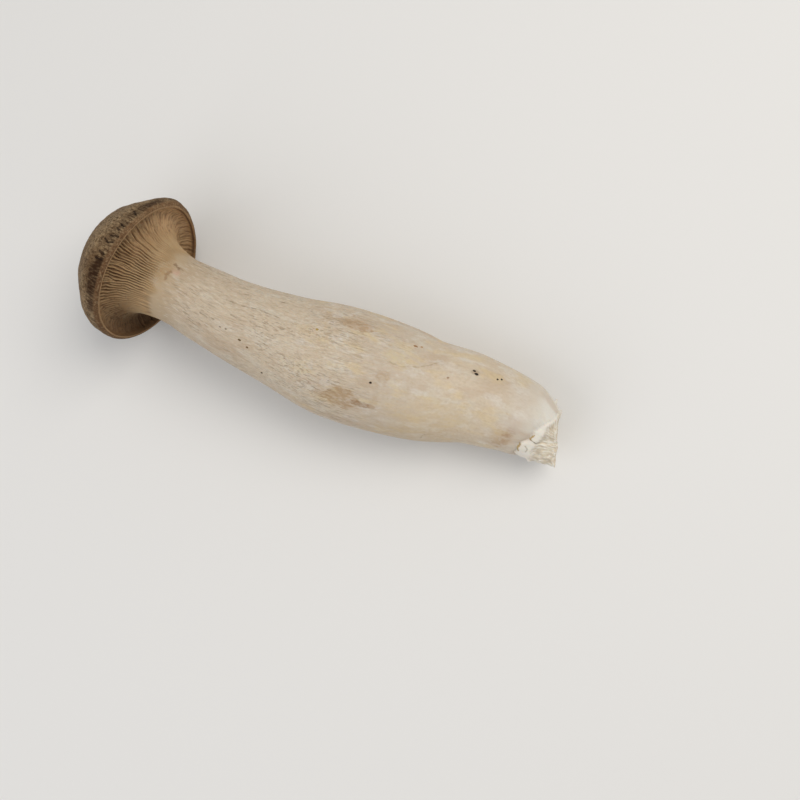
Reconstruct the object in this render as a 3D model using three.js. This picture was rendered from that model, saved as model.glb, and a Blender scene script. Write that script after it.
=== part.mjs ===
// King oyster mushroom, picked and lying on its side on a flat surface.
//
// Millimetres, +Z up. +X runs along the stem from the cap to the torn base, and the origin is on
// the surface that the mushroom lies on, under its middle. It grew as one piece, so it is one
// closed body: a round section whose radius follows the dome, the gills' hollow and the stem, set
// along the mushroom's bent axis.

import * as THREE from 'three';

// Cap. Distances along the axis count from the lip's plane, negative towards the top of the dome.
const CAP_RADIUS = 26.1;
const CAP_WIDEST_AT = -1.4;
const DOME_DEPTH = 19.6;
const LIP_RADIUS = 24.35;
const LIP_ROLL = 0.7;             // how far the margin rolls past the lip's plane
const HOLLOW_RADIUS = 20.4;       // where the gills lie deepest
const HOLLOW_DEPTH = 3.4;
const CAP_NOD = -0.047;           // the lip's plane leans this far at +Z, per mm of radius
const CAP_SWING = 0.024;          // and this far at +Y
const LEAN_FROM = -15;            // the lean grows from here on the dome
const LEAN_FULL_AT = -2;

// Stem, from the gills' inner ends to the torn base.
const NECK_RADIUS = 12.1;
const NECK_AT = 17;
const GILLS_END_AT = 15;           // and the lean has faded out here
const BELLY_RADIUS = 19.4;
const BELLY_AT = 82;
const BASE_RADIUS = 8.6;
const BASE_AT = 151.4;
const STEM_FLATTENING = 0.93;     // height of the stem's section against its width
const ROUND_UNTIL = 5;            // the section is round up to here
const FLAT_FROM = 45;             // and has its full flattening from here

// The base is torn off aslant, and flesh is gone from the upper side of its -Y half.
const SLANT = 3.0;                // how much further the end reaches at -Y than in its middle
const SLANT_FROM = 128;
const TEAR_FROM = 137;
const TEAR_SHARE = 0.42;          // of the section's radius, at the middle of the tear
const TEAR_ANGLE = 2.2;           // round the axis from +Y towards +Z, in radians
const TEAR_HALF_WIDTH = 1.2;

// Places that the axis passes through from the cap to the base, as x, y and height.
const AXIS_PLACES = [
  [-65.1, 1.5, 26.0],
  [-49.9, -1.1, 26.9],
  [-30.4, -5.1, 26.3],
  [-11.5, -7.0, 23.6],
  [5.1, -8.0, 20.4],
  [24.1, -8.2, 17.8],
  [38.9, -8.3, 16.2],
  [53.7, -6.4, 15.0],
  [68.9, -7.2, 14.4],
  [78.9, -9.1, 14.0],
];

// The soft flesh is pressed flat by this much where it rests.
const SETTLE = 0.55;

const DOME_STEPS = 10;
const PROFILE_STEPS = 48;
const STEPS_ROUND = 48;

// The section's radius (x) against the distance along the axis (y), from the top of the dome over
// the margin, down into the gills' hollow, along the stem and over the torn end.
function profile() {
  const dome = new THREE.EllipseCurve(
    0, CAP_WIDEST_AT, CAP_RADIUS, DOME_DEPTH, -Math.PI / 2, 0,
  );
  const rest = new THREE.SplineCurve([
    new THREE.Vector2(CAP_RADIUS, CAP_WIDEST_AT),
    new THREE.Vector2(CAP_RADIUS - 0.4, 0.1),
    new THREE.Vector2(LIP_RADIUS, LIP_ROLL),
    new THREE.Vector2(LIP_RADIUS - 0.3, -0.2),
    new THREE.Vector2(LIP_RADIUS - 1.15, -2.0),
    new THREE.Vector2(HOLLOW_RADIUS, -HOLLOW_DEPTH),
    new THREE.Vector2(16.8, -1.2),
    new THREE.Vector2(14.4, 2.6),
    new THREE.Vector2(13.1, 8),
    new THREE.Vector2(NECK_RADIUS, NECK_AT),
    new THREE.Vector2(12.6, 26),
    new THREE.Vector2(13.7, 37),
    new THREE.Vector2(16.0, 54),
    new THREE.Vector2(18.8, 69),
    new THREE.Vector2(BELLY_RADIUS, BELLY_AT),
    new THREE.Vector2(18.6, 97),
    new THREE.Vector2(16.6, 111),
    new THREE.Vector2(14.6, 125),
    new THREE.Vector2(13.5, 135),
    new THREE.Vector2(12.2, 143),
    new THREE.Vector2(BASE_RADIUS, BASE_AT),
    new THREE.Vector2(BASE_RADIUS * 0.5, BASE_AT + 0.8),
    new THREE.Vector2(0, BASE_AT),
  ]);
  const points = [...dome.getPoints(DOME_STEPS).slice(0, -1), ...rest.getPoints(PROFILE_STEPS)];
  points[0].x = 0;
  return points;
}

// The bent axis: its place and the section's sideways and upward directions at any distance.
class Axis {
  constructor(places) {
    this.curve = new THREE.CatmullRomCurve3(
      places.map((place) => new THREE.Vector3(...place)), false, 'catmullrom', 0.5,
    );
    this.length = this.curve.getLength();
  }

  // Before its first place and after its last one, the axis runs on straight.
  at(distance) {
    const share = THREE.MathUtils.clamp(distance / this.length, 0, 1);
    const tangent = this.curve.getTangentAt(share);
    const place = this.curve.getPointAt(share)
      .addScaledVector(tangent, distance - share * this.length);
    const across = new THREE.Vector3(0, 0, 1).cross(tangent).normalize();
    const upward = tangent.clone().cross(across);
    return { place, across, upward };
  }
}

const smooth = (from, to, value) => THREE.MathUtils.smoothstep(value, from, to);

// Sets a lathe-turned point in its place on the mushroom.
function place(point, axis) {
  const round = Math.hypot(point.x, point.z);
  const angle = Math.atan2(point.x, point.z);
  const slant = -SLANT * Math.cos(angle) * smooth(SLANT_FROM, BASE_AT, point.y);
  const lean = CAP_NOD * Math.sin(angle) + CAP_SWING * Math.cos(angle);
  const nearLip = smooth(LEAN_FROM, LEAN_FULL_AT, point.y) * (1 - smooth(0, GILLS_END_AT, point.y));
  const along = point.y + slant * Math.min(round / BASE_RADIUS, 1) + round * lean * nearLip;
  const offTear = Math.abs(angle - TEAR_ANGLE) / TEAR_HALF_WIDTH;
  const tear = TEAR_SHARE * smooth(TEAR_FROM, BASE_AT, point.y) * (1 - smooth(0, 1, offTear));
  const radius = round * (1 - tear);
  const height = 1 - (1 - STEM_FLATTENING) * smooth(ROUND_UNTIL, FLAT_FROM, along);
  const at = axis.at(along);
  return at.place
    .addScaledVector(at.across, radius * Math.cos(angle))
    .addScaledVector(at.upward, radius * height * Math.sin(angle));
}

function mushroom() {
  const axis = new Axis(AXIS_PLACES);
  const geometry = new THREE.LatheGeometry(profile(), STEPS_ROUND);
  const points = geometry.attributes.position;
  const point = new THREE.Vector3();
  for (let i = 0; i < points.count; i += 1) {
    const placed = place(point.fromBufferAttribute(points, i), axis);
    points.setXYZ(i, placed.x, placed.y, Math.max(placed.z - SETTLE, 0));
  }
  geometry.computeBoundingBox();
  const middle = geometry.boundingBox.getCenter(new THREE.Vector3());
  geometry.translate(-middle.x, -middle.y, 0);
  geometry.computeVertexNormals();
  const flesh = new THREE.MeshStandardMaterial({ color: '#cfc3ae', roughness: 0.62, metalness: 0 });
  const mesh = new THREE.Mesh(geometry, flesh);
  mesh.name = 'mushroom';
  return mesh;
}

const group = new THREE.Group();
group.add(mushroom());
export default group;
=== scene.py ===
"""King oyster mushroom, picked and lying on its side on a pale surface.

The skin is one closed mesh: rows of points run from the top of the cap over the rolled margin,
down into the gills, along the stem and over the torn base. The gills' ridges are pressed into it by
a Geometry Nodes tree. Shapes are worked out in millimetres and made in metres.
"""
import logging
import math
from dataclasses import dataclass
from enum import Enum
from functools import reduce
from itertools import product

import bpy
import numpy as np
from mathutils import Matrix, Vector


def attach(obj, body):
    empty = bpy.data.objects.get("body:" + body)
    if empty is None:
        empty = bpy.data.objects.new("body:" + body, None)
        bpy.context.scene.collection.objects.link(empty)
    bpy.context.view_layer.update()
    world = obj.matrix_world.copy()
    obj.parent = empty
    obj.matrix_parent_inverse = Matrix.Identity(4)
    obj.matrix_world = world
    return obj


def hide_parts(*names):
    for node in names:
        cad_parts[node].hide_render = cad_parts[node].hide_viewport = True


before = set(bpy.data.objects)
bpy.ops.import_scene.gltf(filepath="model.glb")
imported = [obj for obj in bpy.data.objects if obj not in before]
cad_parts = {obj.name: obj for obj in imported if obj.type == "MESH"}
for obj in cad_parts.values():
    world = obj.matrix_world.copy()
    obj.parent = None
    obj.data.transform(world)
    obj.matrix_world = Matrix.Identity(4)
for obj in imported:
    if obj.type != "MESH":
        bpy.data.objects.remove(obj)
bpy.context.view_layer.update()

NODE = "mushroom"
MM = 0.001
Socket = bpy.types.NodeSocket
log = logging.getLogger("mushroom")


def smooth(start: float, end: float, value: np.ndarray) -> np.ndarray:
    """Goes from 0 at start to 1 at end without a kink at either."""
    share = np.clip((value - start) / (end - start), 0.0, 1.0)
    return share * share * (3.0 - 2.0 * share)


def through(points: np.ndarray, shares: np.ndarray, straight_ends: bool) -> np.ndarray:
    """Follows a Catmull-Rom curve through points.

    Args:
        points: the places that the curve passes through, one per row.
        shares: how far along the list of points, from 0 to 1.
        straight_ends: True to run on straight past the ends, False to repeat the end points.

    Returns:
        One place per share.
    """
    count = len(points)
    before = 2 * points[0] - points[1] if straight_ends else points[0]
    after = 2 * points[-1] - points[-2] if straight_ends else points[-1]
    padded = np.vstack([before, points, after])
    where = np.clip(shares, 0.0, 1.0) * (count - 1)
    span = np.minimum(where.astype(int), count - 2)
    part = (where - span)[..., None]
    p0, p1, p2, p3 = (padded[span + step] for step in range(4))
    leave, arrive = (p2 - p0) / 2, (p3 - p1) / 2
    cubic = (2 * p1 - 2 * p2 + leave + arrive) * part ** 3
    square = (3 * p2 - 3 * p1 - 2 * leave - arrive) * part ** 2
    return cubic + square + leave * part + p1


class Field:
    """A smooth random field over three coordinates, the same on every run."""

    CELLS = 24

    def __init__(self, seed: int) -> None:
        """Draws the field's values, from -1 to 1, for one seed."""
        values = np.random.default_rng(seed).uniform(-1.0, 1.0, self.CELLS ** 3)
        self.values = values.reshape((self.CELLS,) * 3)

    def at(self, places: np.ndarray) -> np.ndarray:
        """Reads the field.

        Args:
            places: coordinates in cells, with the last axis of length 3.

        Returns:
            A value between -1 and 1 for each place.
        """
        cell = np.floor(places).astype(int)
        part = smooth(0.0, 1.0, places - cell)
        total = np.zeros(places.shape[:-1])
        for corner in product((0, 1), repeat=3):
            weight = np.prod(np.where(corner, part, 1.0 - part), axis=-1)
            index = (cell + corner) % self.CELLS
            total += weight * self.values[index[..., 0], index[..., 1], index[..., 2]]
        return total


def stitch(first: int, count: int, next_first: int, next_count: int) -> list[tuple[int, ...]]:
    """Joins two neighbouring rows of points with faces, round the whole body.

    Args:
        first: the index of the first row's first point.
        count: how many points the first row has.
        next_first: the index of the second row's first point.
        next_count: how many points the second row has, a multiple or a part of the first's.

    Returns:
        The faces, as indices that run round each one with its outside in front.
    """
    fewer = max(count, next_count) if 1 in (count, next_count) else min(count, next_count)
    own, other = max(count // fewer, 1), max(next_count // fewer, 1)
    faces = []
    for cell in range(fewer):
        near = [first + (cell * own + step) % count for step in range(own + 1)]
        far = [next_first + (cell * other + step) % next_count for step in range(other + 1)]
        ring = near + far[::-1]
        faces.append(tuple(dict.fromkeys(ring)))
    return faces


@dataclass(frozen=True)
class Axis:
    """The mushroom's bent axis, from the lip's plane to the torn base, in millimetres."""

    places: tuple = (
        (-65.1, 1.5, 26.0), (-49.9, -1.1, 26.9), (-30.4, -5.1, 26.3), (-11.5, -7.0, 23.6),
        (5.1, -8.0, 20.4), (24.1, -8.2, 17.8), (38.9, -8.3, 16.2), (53.7, -6.4, 15.0),
        (68.9, -7.2, 14.4), (78.9, -9.1, 14.0),
    )
    samples: int = 2000

    def at(self, along: np.ndarray) -> tuple[np.ndarray, np.ndarray, np.ndarray]:
        """Finds the axis at distances from the lip's plane.

        Args:
            along: distances in millimetres. Outside the axis's length it runs on straight.

        Returns:
            The places on the axis, and the section's sideways and upward directions there.
        """
        line = through(np.array(self.places), np.linspace(0.0, 1.0, self.samples), True)
        steps = np.diff(line, axis=0)
        lengths = np.linalg.norm(steps, axis=1)
        marks = np.concatenate([[0.0], np.cumsum(lengths)])
        inside = np.clip(along, 0.0, marks[-1])
        heading = np.vstack([steps, steps[-1:]]) / np.append(lengths, lengths[-1])[:, None]
        place = np.stack([np.interp(inside, marks, line[:, k]) for k in range(3)], -1)
        forward = np.stack([np.interp(inside, marks, heading[:, k]) for k in range(3)], -1)
        forward /= np.linalg.norm(forward, axis=-1, keepdims=True)
        place += (along - inside)[..., None] * forward
        across = np.cross((0.0, 0.0, 1.0), forward)
        across /= np.linalg.norm(across, axis=-1, keepdims=True)
        return place, across, np.cross(forward, across)


@dataclass(frozen=True)
class Profile:
    """The section's radius along the axis: dome, margin, gills, stem and end, in millimetres.

    The rim is where the section, past rim_past, is only rim_wider wider than the torn base.
    """

    cap_radius: float = 26.1
    cap_widest_at: float = -1.4
    dome_depth: float = 19.6
    roll_radius: float = 25.0
    roll_at: float = 0.62
    lip_radius: float = 24.35
    lip_at: float = 0.7
    hollow_radius: float = 20.4
    hollow_depth: float = 3.4
    neck_radius: float = 12.1
    neck_at: float = 17.0
    belly_radius: float = 19.4
    belly_at: float = 82.0
    base_radius: float = 8.6
    base_at: float = 151.4
    gills_end_at: float = 15.0
    dome_rows: int = 56
    margin_rows: int = 14
    gill_rows: int = 36
    stem_step: float = 1.6
    flap_step: float = 0.42
    end_step: float = 0.6
    flaps_from: float = 140.0
    rim_wider: float = 3.4
    rim_past: float = 100.0
    samples: int = 4000

    def under_cap(self) -> np.ndarray:
        """Lists the points, as radius and distance along, that the curve past the dome takes."""
        return np.array([
            (self.cap_radius, self.cap_widest_at), (self.cap_radius - 0.1, -0.4),
            (self.roll_radius + 0.5, self.roll_at - 0.27), (self.roll_radius, self.roll_at),
            (self.lip_radius + 0.4, self.lip_at - 0.08), (self.lip_radius + 0.1, self.lip_at),
            (self.lip_radius - 0.15, self.lip_at - 0.4), (self.lip_radius - 0.45, -0.6),
            (self.lip_radius - 1.15, -2.0), (self.hollow_radius, -self.hollow_depth),
            (16.8, -1.2), (14.4, 2.6), (13.1, 8.0), (self.neck_radius, self.neck_at),
            (12.6, 26.0), (13.7, 37.0), (16.0, 54.0), (18.8, 69.0),
            (self.belly_radius, self.belly_at), (18.6, 97.0), (16.6, 111.0), (14.6, 125.0),
            (13.5, 135.0), (12.2, 143.0), (self.base_radius, self.base_at),
            (self.base_radius * 0.5, self.base_at + 0.8), (0.0, self.base_at),
        ])

    def rows(self) -> tuple[np.ndarray, np.ndarray, np.ndarray, np.ndarray]:
        """Spaces the mesh's rows from the top of the dome to the middle of the torn end.

        Returns:
            The rows' radii, distances along the axis, lengths along the surface from the lip
            (negative on the cap), and reach: 0 to 1 down the gills, -1 on the cap and 2 beyond.
        """
        turn = np.linspace(-math.pi / 2, 0.0, self.dome_rows, endpoint=False)
        dome = np.stack([self.cap_radius * np.cos(turn),
                         self.cap_widest_at + self.dome_depth * np.sin(turn)], -1)
        fine = through(self.under_cap(), np.linspace(0.0, 1.0, self.samples), False)
        lengths = np.concatenate([[0.0], np.cumsum(np.linalg.norm(np.diff(fine, axis=0), axis=1))])
        lip = lengths[np.argmax(fine[:, 0] < self.lip_radius)]
        neck = lengths[np.argmax(fine[:, 1] > self.gills_end_at)]
        narrow = fine[:, 0] < self.base_radius + self.rim_wider
        rim = lengths[np.argmax(narrow & (fine[:, 1] > self.rim_past))]
        end = lengths[-1]
        flaps = lengths[np.argmax(fine[:, 1] > self.flaps_from)]
        stem_rows = round((flaps - neck) / self.stem_step)
        flap_rows = round((rim - flaps) / self.flap_step)
        end_rows = round((end - rim) / self.end_step)
        stops = np.concatenate([
            np.linspace(0.0, lip, self.margin_rows, endpoint=False),
            np.linspace(lip, neck, self.gill_rows, endpoint=False),
            np.linspace(neck, flaps, stem_rows, endpoint=False),
            np.linspace(flaps, rim, flap_rows, endpoint=False),
            np.linspace(rim, end, end_rows),
        ])
        rest = np.stack([np.interp(stops, lengths, fine[:, k]) for k in range(2)], -1)
        both = np.vstack([dome, rest])
        walk = np.concatenate([[0.0], np.cumsum(np.linalg.norm(np.diff(both, axis=0), axis=1))])
        first_gill = self.dome_rows + self.margin_rows
        surface = walk - walk[first_gill]
        reach = np.full(len(both), 2.0)
        reach[:first_gill] = -1.0
        gills = slice(first_gill, first_gill + self.gill_rows + 1)
        reach[gills] = np.linspace(0.0, 1.0, self.gill_rows + 1)
        radius = both[:, 0].copy()
        radius[0] = radius[-1] = 0.0
        return radius, both[:, 1], surface, reach

    def radius_at(self, length: float) -> float:
        """Gives the radius at a length along the surface from the lip, negative on the cap."""
        radii, _, surface, _ = self.rows()
        return float(np.interp(length, surface, radii))


@dataclass(frozen=True)
class Tear:
    """How the base is torn off: aslant, with curled flaps of skin and a sunken, pitted face.

    Angles round the axis are in degrees, and lengths in mm along the surface from the lip.
    Past the edge the skin is gone, and between the crack and the edge it lifts as a flap. Bares,
    lifts, gapes and drops say over which lengths past them each sets in. The curl of the edge and
    the groove of the crack have a height, a middle and a half width. The fringe lies higher than
    the rest of the face, which has only a share of the fringe's roughness.
    """

    slant: float = 3.0
    slant_from: float = 128.0
    start: float = 137.0
    share: float = 0.42
    angle: float = 2.2
    half_width: float = 1.2
    edge: tuple = ((0.0, 167.6), (27.0, 167.2), (47.0, 166.2), (65.0, 164.8), (81.0, 162.8),
                   (98.0, 161.8), (123.0, 160.5), (139.0, 159.3), (151.0, 158.7),
                   (178.0, 159.2), (210.0, 160.5), (250.0, 159.0), (290.0, 162.5),
                   (330.0, 166.0))
    crack: tuple = ((0.0, 166.9), (47.0, 165.3), (65.0, 163.7), (78.0, 161.4), (86.0, 159.8),
                    (98.0, 158.8), (113.0, 158.0), (121.0, 157.4), (127.0, 156.0),
                    (134.0, 155.0), (149.0, 155.1), (159.0, 154.5), (175.0, 156.2),
                    (200.0, 160.0), (245.0, 155.6), (270.0, 158.4), (300.0, 162.0),
                    (330.0, 165.3))
    fringe: tuple = ((90.0, 0.0), (118.0, 0.15), (132.0, 1.0), (200.0, 1.0), (235.0, 0.3),
                     (300.0, 0.0))
    ragged: float = 0.55
    crack_ragged: float = 0.7
    bares: tuple = (-0.3, 0.3)
    lifts: tuple = (-0.25, 0.45)
    flap_height: float = 0.55
    curl: tuple = (0.45, -0.5, 0.7)
    groove: tuple = (0.5, -0.35, 0.45)
    gapes: tuple = (1.2, 2.6)
    step: float = 1.5
    drops: tuple = (-0.1, 1.1)
    fringe_high: float = 0.75
    pits: float = 0.60
    face_rough: float = 0.35
    strip: tuple = (165.2, 177.0, 2.0, 10.0, 1.9)

    def taken(self, along: np.ndarray, angle: np.ndarray, end: float) -> np.ndarray:
        """Gives the share of the radius that the tear takes off.

        Args:
            along: distances along the axis.
            angle: angles round the axis.
            end: where along the axis the base ends.

        Returns:
            The share, at each place.
        """
        off = np.abs((angle - self.angle + math.pi) % (2 * math.pi) - math.pi) / self.half_width
        return self.share * smooth(self.start, end, along) * (1.0 - smooth(0.0, 1.0, off))

    @staticmethod
    def round_about(table: tuple, angle: np.ndarray) -> np.ndarray:
        """Reads a table of degrees and values at each angle, with no break at the full turn."""
        degrees, values = zip(*table)
        return np.interp(np.degrees(angle), degrees, values, period=360.0)


@dataclass(frozen=True)
class Wave:
    """One layer of unevenness: the field that it reads, its height and its grains' size in mm."""

    field: Field
    height: float
    size: float | tuple

    def at(self, ring: np.ndarray) -> np.ndarray:
        """Gives the height at places in the skin's own grain."""
        return self.height * self.field.at(ring / self.size)


class Skin:
    """The mushroom's closed skin as rows of points, before the gills are pressed in."""

    CAP_COLUMNS = 432
    GILL_COLUMNS = 864
    STEM_COLUMNS = 216
    # Rows narrower than a radius in mm have this many times fewer points.
    THINNED = ((1.6, 8), (4.0, 4), (7.5, 2))
    TORN_FROM = 148.0
    BROAD, RIPPLE, ROUGH = Field(11), Field(12), Field(13)
    CAP_WAVES = (Wave(BROAD, 0.30, 15.0), Wave(RIPPLE, 0.20, 5.0))
    CAP_PITS = Wave(ROUGH, 0.12, (1.9, 1.0, 1.0))
    # The pits fade out by the margin, and the unevenness by the pole.
    PITTED, AROUND_POLE = (-1.5, -3.0), (0.0, 3.0)
    GILL_WAVE = Wave(BROAD, 0.25, 17.0)
    STEM_WAVES = (
        Wave(BROAD, 0.30, (24.0, 13.0, 13.0)), Wave(RIPPLE, 0.09, (16.0, 2.6, 2.6)),
        Wave(ROUGH, 0.03, (7.0, 1.1, 1.1)),
    )
    JAGS = (Wave(ROUGH, 1.0, 2.2), Wave(RIPPLE, 0.6, 0.9))
    LUMPS = (Wave(ROUGH, 1.0, (2.4, 1.2, 1.2)), Wave(RIPPLE, 0.8, (1.5, 0.7, 0.7)))
    CRUMPLE = Wave(RIPPLE, 0.5, 1.6)
    # Smooth bumps and hollows: see swell for what the numbers are.
    SWELLINGS = (
        (-13.0, 28.0, 6.0, 38.0, -1.3), (-15.0, 135.0, 5.0, 35.0, -0.5),
        (-3.5, 8.0, 3.5, 18.0, 0.9), (-1.0, 325.0, 3.5, 32.0, -0.9),
        (24.0, 3.0, 8.0, 45.0, -1.0), (34.0, 178.0, 7.0, 35.0, 0.7),
        (150.0, 178.0, 5.0, 26.0, -0.7), (157.0, 180.0, 3.0, 26.0, -1.5),
        (165.9, 176.0, 1.2, 11.0, 2.0), (163.2, 6.0, 0.6, 3.2, 1.7),
    )
    # The cap's lean to the stem: how much upward and sideways, and where along the axis it sets in.
    NOD, SWING = -0.047, 0.024
    LEANS = (-15.0, -2.0)
    # The stem is this much lower than it is wide, past these distances along the axis.
    FLATTENING = 0.93
    FLATTENS = (5.0, 45.0)
    # How far it is let down onto the floor, and how softly the floor presses it flat, in mm.
    SETTLE, PRESSED = 0.55, 0.12

    def __init__(self, profile: Profile, axis: Axis, tear: Tear) -> None:
        """Keeps the sizes of the section, the bent axis and the torn base."""
        self.profile, self.axis, self.tear = profile, axis, tear

    def columns(self, radius: float, reach: float) -> int:
        """Chooses how many points a row has, fewer near the poles.

        Args:
            radius: the row's plain radius, which is 0 at a pole.
            reach: the row's reach, as Profile.rows gives it.

        Returns:
            The number of points.
        """
        if radius == 0.0:
            return 1
        if 0.0 <= reach < 1.0:
            return self.GILL_COLUMNS
        full = self.CAP_COLUMNS if reach < 0.0 else self.STEM_COLUMNS
        return next((full // fewer for limit, fewer in self.THINNED if radius < limit), full)

    @staticmethod
    def swell(swelling: tuple, length: np.ndarray, angle: np.ndarray) -> np.ndarray:
        """Gives the height of one smooth bump, or its depth where its size is negative.

        Args:
            swelling: its middle as a length and an angle in degrees, its half length, its half
                turn in degrees and its size.
            length: lengths along the surface from the lip.
            angle: angles round the axis.

        Returns:
            The height at each place, in millimetres.
        """
        middle, around, half_length, half_turn, size = swelling
        turned = (np.degrees(angle) - around + 180.0) % 360.0 - 180.0
        return size * np.exp(-((length - middle) / half_length) ** 2 - (turned / half_turn) ** 2)

    def uneven(self, ring: np.ndarray, angle: np.ndarray, reach: float) -> np.ndarray:
        """Works out how far the surface stands out from the plain round form.

        Args:
            ring: the places in the skin's own grain: length from the lip, then across.
            angle: the angle round the axis.
            reach: -1 on the cap, 0 to 1 down the gills and 2 on the stem.

        Returns:
            The height of the swellings, hollows and ripples, in millimetres.
        """
        length, radius = ring[:, 0], np.hypot(ring[:, 1], ring[:, 2])
        height = sum(self.swell(swelling, length, angle) for swelling in self.SWELLINGS)
        if reach < 0.0:
            pits = self.CAP_PITS.at(ring) * smooth(*self.PITTED, length)
            waves = sum(wave.at(ring) for wave in self.CAP_WAVES)
            return height + smooth(*self.AROUND_POLE, radius) * (waves + pits)
        if reach <= 1.0:
            return height + reach * self.GILL_WAVE.at(ring)
        return height + sum(wave.at(ring) for wave in self.STEM_WAVES)

    def torn(self, ring: np.ndarray, angle: np.ndarray) -> tuple[np.ndarray, ...]:
        """Works out the torn base.

        Args:
            ring: the places in the skin's own grain.
            angle: the angle round the axis.

        Returns:
            How torn the flesh is, from 0 on skin to 1 past its edge, how much of it is a white
            flap, and the height of flaps, grooves, steps and pits, in millimetres.
        """
        tear = self.tear
        jag = tear.ragged * sum(wave.at(ring) for wave in self.JAGS)
        past = ring[:, 0] - tear.round_about(tear.edge, angle) - jag
        opened = ring[:, 0] - tear.round_about(tear.crack, angle) - tear.crack_ragged * jag
        fringe = tear.round_about(tear.fringe, angle)
        bare = smooth(*tear.bares, past)
        flap = smooth(*tear.lifts, opened) * (1.0 - bare)
        height = tear.flap_height * flap * (1.0 + self.CRUMPLE.at(ring))
        lift, middle, half = tear.curl
        height += lift * np.exp(-((past - middle) / half) ** 2)
        depth, middle, half = tear.groove
        wide = smooth(*tear.gapes, opened - past)
        height -= depth * wide * np.exp(-((opened - middle) / half) ** 2)
        height -= tear.step * smooth(*tear.drops, past) * (1.0 - tear.fringe_high * fringe)
        rough = tear.face_rough + (1.0 - tear.face_rough) * fringe
        height += tear.pits * bare * rough * sum(wave.at(ring) for wave in self.LUMPS)
        return bare, flap, height

    def place(self, radius: float, along: float, length: float, reach: float,
              angle: np.ndarray) -> tuple[np.ndarray, ...]:
        """Sets one row of points in its place on the mushroom.

        Args:
            radius: the row's plain radius.
            along: its distance along the axis.
            length: its length along the surface from the lip.
            reach: the row's reach, as Profile.rows gives it.
            angle: the angle of each point round the axis.

        Returns:
            The points, their places in the skin's own grain, how torn the flesh is at each, and
            how much of it is a white flap.
        """
        profile, tear = self.profile, self.tear
        ring = np.stack([np.full_like(angle, length), radius * np.cos(angle),
                         radius * np.sin(angle)], -1)
        height = self.uneven(ring, angle, reach)
        bare, flap, on_end = np.zeros_like(angle), np.zeros_like(angle), 0.0
        if length > self.TORN_FROM:
            bare, flap, relief = self.torn(ring, angle)
            height = height + relief
            on_end = smooth(profile.base_radius, 0.0, radius)
        slant = -tear.slant * np.cos(angle) * smooth(tear.slant_from, profile.base_at, along)
        far = along + slant * min(radius / profile.base_radius, 1.0)
        nod = self.NOD * np.sin(angle) + self.SWING * np.cos(angle)
        near_lip = smooth(profile.gills_end_at, 0.0, along) * smooth(*self.LEANS, along)
        far = far + radius * nod * near_lip + self.swell(tear.strip, ring[:, 0], angle)
        around = radius * (1.0 - tear.taken(along, angle, profile.base_at))
        around = np.maximum(around + height * (1.0 - on_end), 0.0)
        far = far + height * on_end * (radius > 0.0)
        flat = 1.0 - (1.0 - self.FLATTENING) * smooth(*self.FLATTENS, far)
        place, across, upward = self.axis.at(far)
        place = place + (around * np.cos(angle))[:, None] * across
        place = place + (around * flat * np.sin(angle))[:, None] * upward
        place[:, 2] -= self.SETTLE
        return place, ring, bare, flap

    def build(self, name: str) -> bpy.types.Object:
        """Makes the skin's mesh with the attributes that the gills and finishes read.

        Args:
            name: the object's name.

        Returns:
            The object, with its place in its mesh.
        """
        rows = []
        for radius, along, length, reach in zip(*self.profile.rows()):
            count = self.columns(radius, reach)
            angle = 2 * math.pi * np.arange(count) / count
            placed = self.place(radius, along, length, reach, angle)
            rows.append((*placed, angle, np.full(count, reach)))
        counts = [len(row[0]) for row in rows]
        starts = np.cumsum([0, *counts]).tolist()
        faces = [face for row in range(len(counts) - 1)
                 for face in stitch(starts[row], counts[row], starts[row + 1], counts[row + 1])]
        places, grain, torn, flap, angle, reach = (np.concatenate(part) for part in zip(*rows))
        places[:, 2] = self.PRESSED * np.logaddexp(0.0, places[:, 2] / self.PRESSED)
        mesh = bpy.data.meshes.new(name)
        mesh.from_pydata((places * MM).tolist(), [], faces)
        for label, values in (("angle", angle), ("reach", reach), ("torn", torn), ("flap", flap)):
            layer = mesh.attributes.new(label, "FLOAT", "POINT")
            layer.data.foreach_set("value", values)
        layer = mesh.attributes.new("grain", "FLOAT_VECTOR", "POINT")
        layer.data.foreach_set("vector", grain.ravel())
        mesh.shade_smooth()
        thing = bpy.data.objects.new(name, mesh)
        bpy.context.scene.collection.objects.link(thing)
        return thing


def add(tree: bpy.types.NodeTree, kind: str, settings: dict | None = None,
        inputs: dict | None = None) -> bpy.types.Node:
    """Adds a node with its settings, links and values.

    Args:
        tree: the node tree.
        kind: the node's type name.
        settings: the node's own properties.
        inputs: a socket to link or a value to set, by the input's name or number.

    Returns:
        The new node.
    """
    node = tree.nodes.new(kind)
    for label, value in (settings or {}).items():
        setattr(node, label, value)
    for label, value in (inputs or {}).items():
        if isinstance(value, Socket):
            tree.links.new(value, node.inputs[label])
        else:
            node.inputs[label].default_value = value
    return node


def linear(colour: str) -> tuple[float, float, float, float]:
    """Turns an sRGB hex colour into linear red, green, blue and alpha.

    Args:
        colour: a hash sign and six hex digits.

    Returns:
        The four values, with an alpha of 1.
    """
    parts = [int(colour[start:start + 2], 16) / 255 for start in (1, 3, 5)]
    straight = [part / 12.92 if part <= 0.04045 else ((part + 0.055) / 1.055) ** 2.4
                for part in parts]
    return (*straight, 1.0)


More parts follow.
